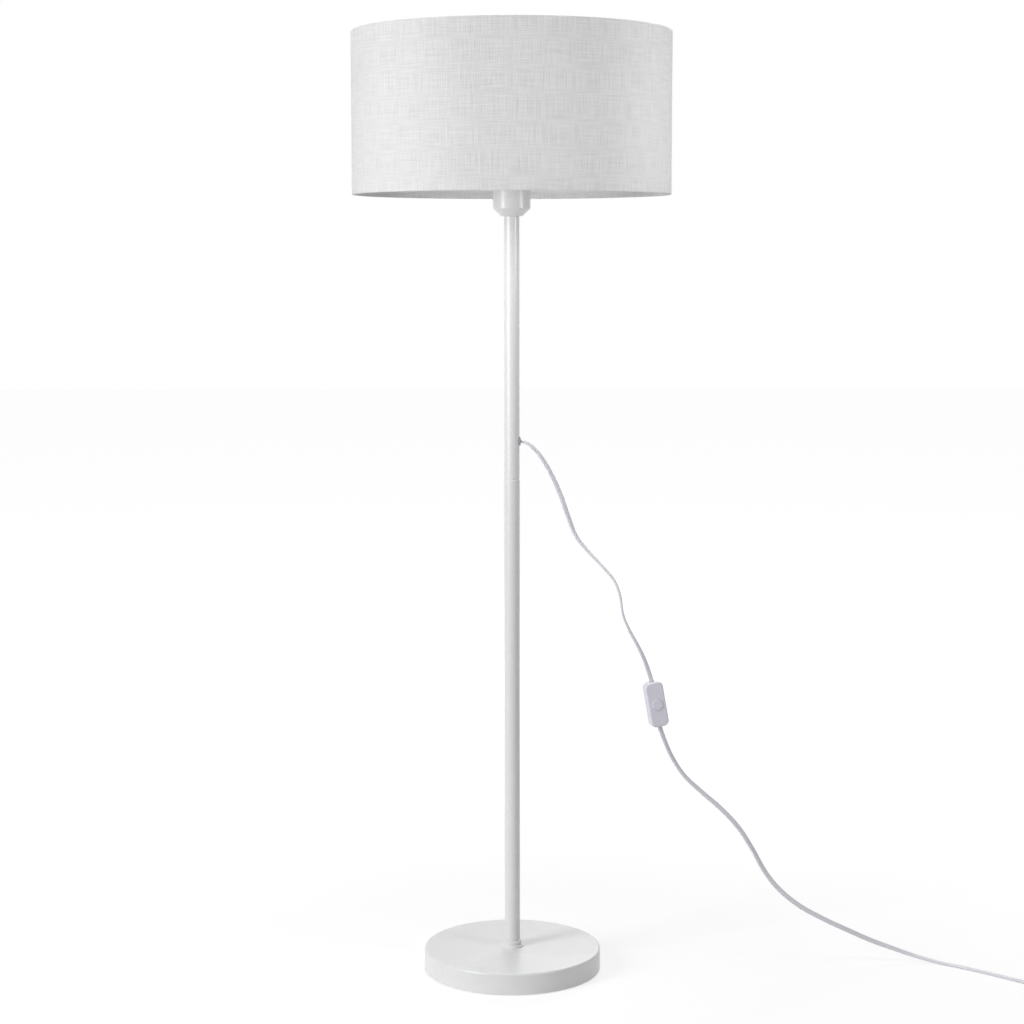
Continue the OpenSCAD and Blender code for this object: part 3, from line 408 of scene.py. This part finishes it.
def make_cloth_seam():
    """Overlap of the cloth at the back of the shade, as a thin strip with soft edges."""
    columns = [  # distance from the strip's middle, and share of its rise
        (-SEAM_HALF_W, 0.0), (-SEAM_HALF_W + 0.25, 0.7), (-SEAM_HALF_W + 0.9, 1.0), (0, 1.0),
        (SEAM_HALF_W - 0.9, 0.55), (SEAM_HALF_W, 0.0),
    ]
    rings = []
    for z in np.linspace(SHADE_LOW + SEAM_END, SHADE_HIGH - SEAM_END, SEAM_ROWS):
        face, back = [], []
        for x, lift in columns:
            a = math.pi / 2 + x / SHADE_R
            ripple = SEAM_RIPPLE * math.sin(z / SEAM_RIPPLE_LEAN + x)
            face.append(polar_point(SHADE_R - SEAM_EDGE_SINK + SEAM_RISE * lift + ripple, a, z))
            back.append(polar_point(SHADE_R - SEAM_BACK_SINK, a, z))
        rings.append(face + back[::-1])
    return ring_mesh("shade_seam", rings)


cloth = make_cloth()
seam = make_cloth_seam()
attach(cloth, "lamp")
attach(seam, "lamp")
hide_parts("shade_fabric")


# ---- Shader nodes ----

def noise(tree, place, scale, detail=3.0, stretch=None, roughness=0.5):
    if stretch is not None:
        mapping = tree.nodes.new("ShaderNodeMapping")
        mapping.inputs["Scale"].default_value = stretch
        tree.links.new(place, mapping.inputs["Vector"])
        place = mapping.outputs["Vector"]
    texture = tree.nodes.new("ShaderNodeTexNoise")
    texture.inputs["Scale"].default_value = scale
    texture.inputs["Detail"].default_value = detail
    texture.inputs["Roughness"].default_value = roughness
    tree.links.new(place, texture.inputs["Vector"])
    return texture.outputs["Fac"]


def math_node(tree, operation, a, b=0.0, clamp=False):
    node = tree.nodes.new("ShaderNodeMath")
    node.operation = operation
    node.use_clamp = clamp
    for socket, value in zip(node.inputs, (a, b)):
        if isinstance(value, (int, float)):
            socket.default_value = value
        else:
            tree.links.new(value, socket)
    return node.outputs[0]


def plus(tree, a, b, clamp=False):
    return math_node(tree, "ADD", a, b, clamp)


def times(tree, a, b):
    return math_node(tree, "MULTIPLY", a, b)


def span(tree, value, from_low, from_high, to_low=0.0, to_high=1.0):
    """The value moved from one range to another, and held inside the second."""
    node = tree.nodes.new("ShaderNodeMapRange")
    node.clamp = True
    tree.links.new(value, node.inputs["Value"])
    for key, number in zip(("From Min", "From Max", "To Min", "To Max"),
                           (from_low, from_high, to_low, to_high)):
        node.inputs[key].default_value = number
    return node.outputs["Result"]


def blend_colors(tree, factor, a, b):
    node = tree.nodes.new("ShaderNodeMix")
    node.data_type = "RGBA"
    tree.links.new(factor, node.inputs["Factor"])
    for socket, value in ((node.inputs[6], a), (node.inputs[7], b)):  # the mix node's two colours
        if isinstance(value, tuple):
            socket.default_value = (*value, 1.0)
        else:
            tree.links.new(value, socket)
    return node.outputs[2]


def bump(tree, shader, height, distance):
    node = tree.nodes.new("ShaderNodeBump")
    node.inputs["Distance"].default_value = distance
    tree.links.new(height, node.inputs["Height"])
    tree.links.new(node.outputs["Normal"], shader.inputs["Normal"])


def separate(tree, vector):
    split = tree.nodes.new("ShaderNodeSeparateXYZ")
    tree.links.new(vector, split.inputs[0])
    return split.outputs


# ---- Materials ----

NOISE_RANGE = (0.3, 0.7)  # where nearly all of a noise texture's values lie
WORN_RANGE = (0.2, 0.8)
CLOUD_DETAIL = 4.0
GRAIN_DETAIL = 2.0


def start_material(name, roughness, metallic=0.0, **fixed):
    """New material with constant values on its shader, such as Sheen_Weight."""
    material = bpy.data.materials.new(name)
    material.use_nodes = True
    tree = material.node_tree
    shader = tree.nodes["Principled BSDF"]
    shader.inputs["Roughness"].default_value = roughness
    shader.inputs["Metallic"].default_value = metallic
    for key, value in fixed.items():
        shader.inputs[key.replace("_", " ")].default_value = value
    place = tree.nodes.new("ShaderNodeTexCoord").outputs["Object"]
    return material, tree, shader, place


def shaded(color, share):
    return tuple(min(1.0, c * share) for c in color)


def surface(name, color, roughness, metallic=0.0, cloud=5.0, tone=0.02, grain=1200.0,
            relief=0.00001, gloss=0.05, stretch=None, **fixed):
    """A surface whose colour and gloss drift a little, with a fine grain."""
    material, tree, shader, place = start_material(name, roughness, metallic, **fixed)
    drift = span(tree, noise(tree, place, cloud, CLOUD_DETAIL), *NOISE_RANGE)
    fine = noise(tree, place, grain, GRAIN_DETAIL, stretch)
    tree.links.new(blend_colors(tree, drift, shaded(color, 1 - tone), shaded(color, 1 + tone)),
                   shader.inputs["Base Color"])
    worn = plus(tree, times(tree, drift, 0.5), times(tree, fine, 0.5))
    tree.links.new(span(tree, worn, *WORN_RANGE, roughness - gloss, roughness + gloss),
                   shader.inputs["Roughness"])
    bump(tree, shader, fine, relief)
    return material


# The cloth's threads and slubs are noise, with these scales per metre round the shade and up it
UPRIGHT_THREADS = (1200, 28, 1)
LEVEL_THREADS = (24, 850, 1)
THREAD_ROUGHNESS = 0.55
UPRIGHT_SHARE = 0.6  # of the threads' pattern
UPRIGHT_SLUBS = (190, 9, 1)
LEVEL_SLUBS = (8, 210, 1)
SLUB_RANGE = (0.56, 0.74)
THREAD_RANGE = (0.34, 0.62)
THREAD_TONES = (-0.12, 0.88)
SLUB_TONE = 0.12
PATCH_SCALE = 22.0
PATCH_TONE = 0.24
DARK_THREAD, LIGHT_THREAD = 0.82, 1.08
WEAVE_LENGTH = 0.75 * MM  # of one over and one under
SLUB_HEIGHT = 0.22
WEAVE_HEIGHT = 0.10
CLOTH_RELIEF = 0.0014


def woven(name, color):
    """Linen-like cloth: uneven threads both ways, thick slubs, and a fine plain weave."""
    material, tree, shader, place = start_material(
        name, 0.85, Sheen_Weight=0.15, Sheen_Roughness=0.5, Specular_IOR_Level=0.2)
    # Flat coordinates on the skin, from the front, so that they break under the seam at the back
    x, y, z = separate(tree, place)
    angle = math_node(tree, "ARCTAN2", x, times(tree, y, -1.0))
    across = times(tree, angle, SHADE_R * MM)
    joined = tree.nodes.new("ShaderNodeCombineXYZ")
    tree.links.new(across, joined.inputs[0])
    tree.links.new(z, joined.inputs[1])
    flat = joined.outputs[0]

    upright, level = (noise(tree, flat, 1.0, GRAIN_DETAIL, scales, THREAD_ROUGHNESS)
                      for scales in (UPRIGHT_THREADS, LEVEL_THREADS))
    threads = plus(tree, times(tree, upright, UPRIGHT_SHARE),
                   times(tree, level, 1 - UPRIGHT_SHARE))
    slubs = plus(tree, *(span(tree, noise(tree, flat, 1.0, 1.0, scales), *SLUB_RANGE)
                         for scales in (UPRIGHT_SLUBS, LEVEL_SLUBS)))
    over_under = times(tree, *(math_node(tree, "SINE", times(tree, way, FULL_TURN / WEAVE_LENGTH))
                               for way in (across, z)))

    patches = times(tree, noise(tree, flat, PATCH_SCALE, GRAIN_DETAIL), PATCH_TONE)
    tone = plus(tree, span(tree, threads, *THREAD_RANGE, *THREAD_TONES), patches)
    tone = plus(tree, tone, times(tree, slubs, SLUB_TONE), clamp=True)
    tree.links.new(
        blend_colors(tree, tone, shaded(color, DARK_THREAD), shaded(color, LIGHT_THREAD)),
        shader.inputs["Base Color"])
    height = plus(tree, threads, times(tree, slubs, SLUB_HEIGHT))
    height = plus(tree, height, times(tree, over_under, WEAVE_HEIGHT))
    bump(tree, shader, height, CLOTH_RELIEF)
    return material


GROOVE_BOTTOM, GROOVE_TOP = 0.12 * MM, 0.30 * MM  # half of the groove's width at each
GROOVE_TONE = 0.45
GROOVE_DEPTH = 20.0  # times the plastic's own relief
PLASTIC_CLOUD = 25.0
PLASTIC_GRAIN = 2600.0
PLASTIC_TONE = 0.015
PLASTIC_GLOSS = 0.05
PLASTIC_RELIEF = 0.000008


def moulded(name, color, roughness, joint_line=False):
    """Moulded plastic, where asked with the line at which the switch's halves meet."""
    material, tree, shader, place = start_material(name, roughness, Specular_IOR_Level=0.5)
    drift = span(tree, noise(tree, place, PLASTIC_CLOUD), *NOISE_RANGE)
    fine = noise(tree, place, PLASTIC_GRAIN, GRAIN_DETAIL)
    tint = blend_colors(tree, drift, shaded(color, 1 - PLASTIC_TONE),
                        shaded(color, 1 + PLASTIC_TONE))
    height = fine
    if joint_line:
        dot = tree.nodes.new("ShaderNodeVectorMath")
        dot.operation = "DOT_PRODUCT"
        tree.links.new(place, dot.inputs[0])
        dot.inputs[1].default_value = tuple(SWITCH_BACK)
        middle = float(np.dot(SWITCH_AT * MM, SWITCH_BACK))
        away = math_node(tree, "ABSOLUTE",
                         math_node(tree, "SUBTRACT", dot.outputs["Value"], middle))
        groove = span(tree, away, GROOVE_BOTTOM, GROOVE_TOP, 1.0, 0.0)
        tint = blend_colors(tree, groove, tint, shaded(color, GROOVE_TONE))
        height = math_node(tree, "SUBTRACT", fine, times(tree, groove, GROOVE_DEPTH))
    tree.links.new(tint, shader.inputs["Base Color"])
    tree.links.new(
        span(tree, fine, *NOISE_RANGE, roughness - PLASTIC_GLOSS, roughness + PLASTIC_GLOSS),
        shader.inputs["Roughness"])
    bump(tree, shader, height, PLASTIC_RELIEF)
    return material


POWDER_WHITE = (0.81, 0.81, 0.815)
LEAD_WHITE = (0.83, 0.82, 0.875)
PLASTIC_WHITE = (0.83, 0.815, 0.905)
HOLDER_WHITE = (0.80, 0.80, 0.78)
LINER_WHITE = (0.93, 0.93, 0.925)
WIRE_WHITE = (0.78, 0.78, 0.77)
OPAL_WHITE = (0.90, 0.90, 0.885)
CLOTH_WHITE = (0.97, 0.97, 0.97)
ZINC = (0.60, 0.61, 0.64)
BRASS = (0.80, 0.60, 0.28)
NICKEL = (0.70, 0.69, 0.67)
CONCRETE_GREY = (0.42, 0.41, 0.39)
FELT_BLACK = (0.055, 0.055, 0.06)
PLASTIC_GREY = (0.40, 0.40, 0.41)
PLASTIC_BLACK = (0.025, 0.025, 0.028)
CORE_BROWN = (0.30, 0.15, 0.07)
MATERIALS = {
    "powder_coat": surface("powder_coat", POWDER_WHITE, 0.27, cloud=4.0, tone=0.012,
                           grain=900.0, relief=0.000004, gloss=0.04, Specular_IOR_Level=0.8),
    "zinc_steel": surface("zinc_steel", ZINC, 0.36, metallic=1.0, cloud=40.0, tone=0.08,
                          grain=800.0, relief=0.00002, gloss=0.10, stretch=(1, 1, 12)),
    "concrete": surface("concrete", CONCRETE_GREY, 0.9, cloud=60.0, tone=0.18, grain=500.0,
                        relief=0.0003),
    "felt": surface("felt", FELT_BLACK, 0.95, cloud=80.0, tone=0.2, grain=1500.0, relief=0.0002),
    "brass": surface("brass", BRASS, 0.30, metallic=1.0, cloud=90.0, tone=0.08, grain=1500.0,
                     gloss=0.08),
    "nickel": surface("nickel", NICKEL, 0.20, metallic=1.0, cloud=60.0, tone=0.05,
                      grain=1500.0, gloss=0.06, stretch=(1, 1, 6)),
    "white_plastic": moulded("white_plastic", PLASTIC_WHITE, 0.36, joint_line=True),
    "holder_plastic": moulded("holder_plastic", HOLDER_WHITE, 0.42),
    "grey_plastic": moulded("grey_plastic", PLASTIC_GREY, 0.45),
    "black_plastic": moulded("black_plastic", PLASTIC_BLACK, 0.4),
    "lead_sheath": surface("lead_sheath", LEAD_WHITE, 0.34, cloud=30.0, grain=1800.0,
                           relief=0.000012),
    "shade_liner": surface("shade_liner", LINER_WHITE, 0.5, cloud=8.0, tone=0.01, grain=1400.0,
                           relief=0.00002),
    "white_wire": surface("white_wire", WIRE_WHITE, 0.35, cloud=30.0, grain=1500.0),
    "opal": surface("opal", OPAL_WHITE, 0.28, cloud=12.0, tone=0.01, grain=1500.0,
                    relief=0.000004, Subsurface_Weight=0.25, Subsurface_Scale=0.004,
                    Subsurface_Radius=(1.0, 1.0, 1.0)),
    "core_insulation": surface("core_insulation", CORE_BROWN, 0.5, cloud=60.0, tone=0.06),
    "shade_fabric": woven("shade_fabric", CLOTH_WHITE),
}


def dress(piece, material):
    piece.data.materials.clear()
    piece.data.materials.append(material)


for entry in frame["record"]["subparts"]:
    node = frame["nodes"][entry["node"]]
    dress(node, MATERIALS[entry["material_slot"]])
for piece, slot in ((upper_lead, "lead_sheath"), (lower_lead, "lead_sheath"),
                    (tie, "black_plastic"), (cloth, "shade_fabric"), (seam, "shade_fabric")):
    dress(piece, MATERIALS[slot])


# ---- Floor, world and lights ----

WORLD_COLOR = (0.985, 0.99, 1.0, 1.0)
WORLD_LEVEL, WORLD_ABOVE = 0.07, 0.37  # its strength as light from the horizon and from above
FLOOR_HALF = 14.0
FLOOR_LIT = (0.45, 0.45, 0.45, 1.0)
# Distances from the lamp, and the strength or grey at the nearer and at the farther one
FLOOR_GLOW = (0.4, 2.2, 0.64, 0.86)
FLOOR_PAINT = (0.3, 1.2, 0.90, 0.50)


def split_by_ray(tree, for_light, for_sight, output):
    """Shows one shader to the light and another to sight, also in a mirror or through glass."""
    path = tree.nodes.new("ShaderNodeLightPath")
    sight = plus(tree, path.outputs["Is Camera Ray"], path.outputs["Is Glossy Ray"])
    sight = plus(tree, sight, path.outputs["Is Transmission Ray"], clamp=True)
    mix = tree.nodes.new("ShaderNodeMixShader")
    tree.links.new(sight, mix.inputs[0])
    tree.links.new(for_light.outputs[0], mix.inputs[1])
    tree.links.new(for_sight.outputs[0], mix.inputs[2])
    tree.links.new(mix.outputs[0], tree.nodes.new(output).inputs["Surface"])


def make_world():
    """White to the eye, and as light brighter from above than from the side."""
    world = bpy.data.worlds.new("studio")
    bpy.context.scene.world = world
    world.use_nodes = True
    tree = world.node_tree
    tree.nodes.clear()
    light, white = (tree.nodes.new("ShaderNodeBackground") for _ in range(2))
    light.inputs["Color"].default_value = WORLD_COLOR
    way_up = separate(tree, tree.nodes.new("ShaderNodeTexCoord").outputs["Generated"])[2]
    tree.links.new(span(tree, way_up, 0.0, 1.0, WORLD_LEVEL, WORLD_ABOVE),
                   light.inputs["Strength"])
    white.inputs["Color"].default_value = (1.0, 1.0, 1.0, 1.0)
    white.inputs["Strength"].default_value = 1.0
    split_by_ray(tree, light, white, "ShaderNodeOutputWorld")


def make_floor():
    """White floor that takes soft shadows, and throws its own share of light on the lamp."""
    corners = [(-FLOOR_HALF, -FLOOR_HALF, 0), (FLOOR_HALF, -FLOOR_HALF, 0),
               (FLOOR_HALF, FLOOR_HALF, 0), (-FLOOR_HALF, FLOOR_HALF, 0)]
    floor = add_mesh("floor", corners, [[0, 1, 2, 3]], smooth=False)
    material = bpy.data.materials.new("floor")
    material.use_nodes = True
    tree = material.node_tree
    tree.nodes.clear()
    away = tree.nodes.new("ShaderNodeVectorMath")
    away.operation = "LENGTH"
    tree.links.new(tree.nodes.new("ShaderNodeTexCoord").outputs["Object"], away.inputs[0])
    distance = away.outputs["Value"]
    paint, lit = (tree.nodes.new("ShaderNodeBsdfDiffuse") for _ in range(2))
    glow = tree.nodes.new("ShaderNodeEmission")
    lit.inputs["Color"].default_value = FLOOR_LIT
    tree.links.new(span(tree, distance, *FLOOR_GLOW), glow.inputs["Strength"])
    tree.links.new(span(tree, distance, *FLOOR_PAINT), paint.inputs["Color"])
    seen = tree.nodes.new("ShaderNodeAddShader")
    tree.links.new(lit.outputs[0], seen.inputs[0])
    tree.links.new(glow.outputs[0], seen.inputs[1])
    split_by_ray(tree, paint, seen, "ShaderNodeOutputMaterial")
    dress(floor, material)


def area_light(name, azimuth, elevation, distance, size, level, aim=0.8, spread=180):
    """Soft light that adds this level, as a share of white, to a surface that faces it.

    It is aimed at a height on the column's axis, and the angles and the distance start there.
    """
    half_spread = math.radians(spread) / 2
    data = bpy.data.lights.new(name, "AREA")
    data.shape = "RECTANGLE"
    data.size, data.size_y = size
    # Blender makes a narrow spread brighter, which the last factor takes back
    data.energy = level * math.pi ** 2 * distance ** 2 * (1 - half_spread / math.tan(half_spread))
    data.spread = 2 * half_spread
    lamp = bpy.data.objects.new(name, data)
    lamp.visible_camera = False
    bpy.context.scene.collection.objects.link(lamp)
    a, e = math.radians(azimuth), math.radians(elevation)
    way = Vector((math.sin(a) * math.cos(e), -math.cos(a) * math.cos(e), math.sin(e)))
    lamp.location = Vector((0, 0, aim)) + way * distance
    lamp.rotation_euler = way.to_track_quat("Z", "Y").to_euler()


make_world()
make_floor()
area_light("key", -55, 10, distance=3.0, size=(0.9, 1.9), level=0.66, aim=0.95)
area_light("low_fill", -35, -22, distance=1.3, size=(0.5, 0.5), level=0.22, aim=1.24, spread=50)
area_light("side", 60, 0, distance=0.8, size=(0.15, 0.44), level=0.42, aim=1.22)
area_light("top", 0, 80, distance=3.6, size=(2.4, 2.4), level=0.26)
area_light("back", 165, 25, distance=3.2, size=(1.6, 1.8), level=0.24, aim=0.9)
area_light("back_high", 190, 12, distance=1.8, size=(0.6, 0.4), level=0.16, aim=1.24, spread=60)

bpy.context.scene.view_settings.view_transform = "Standard"
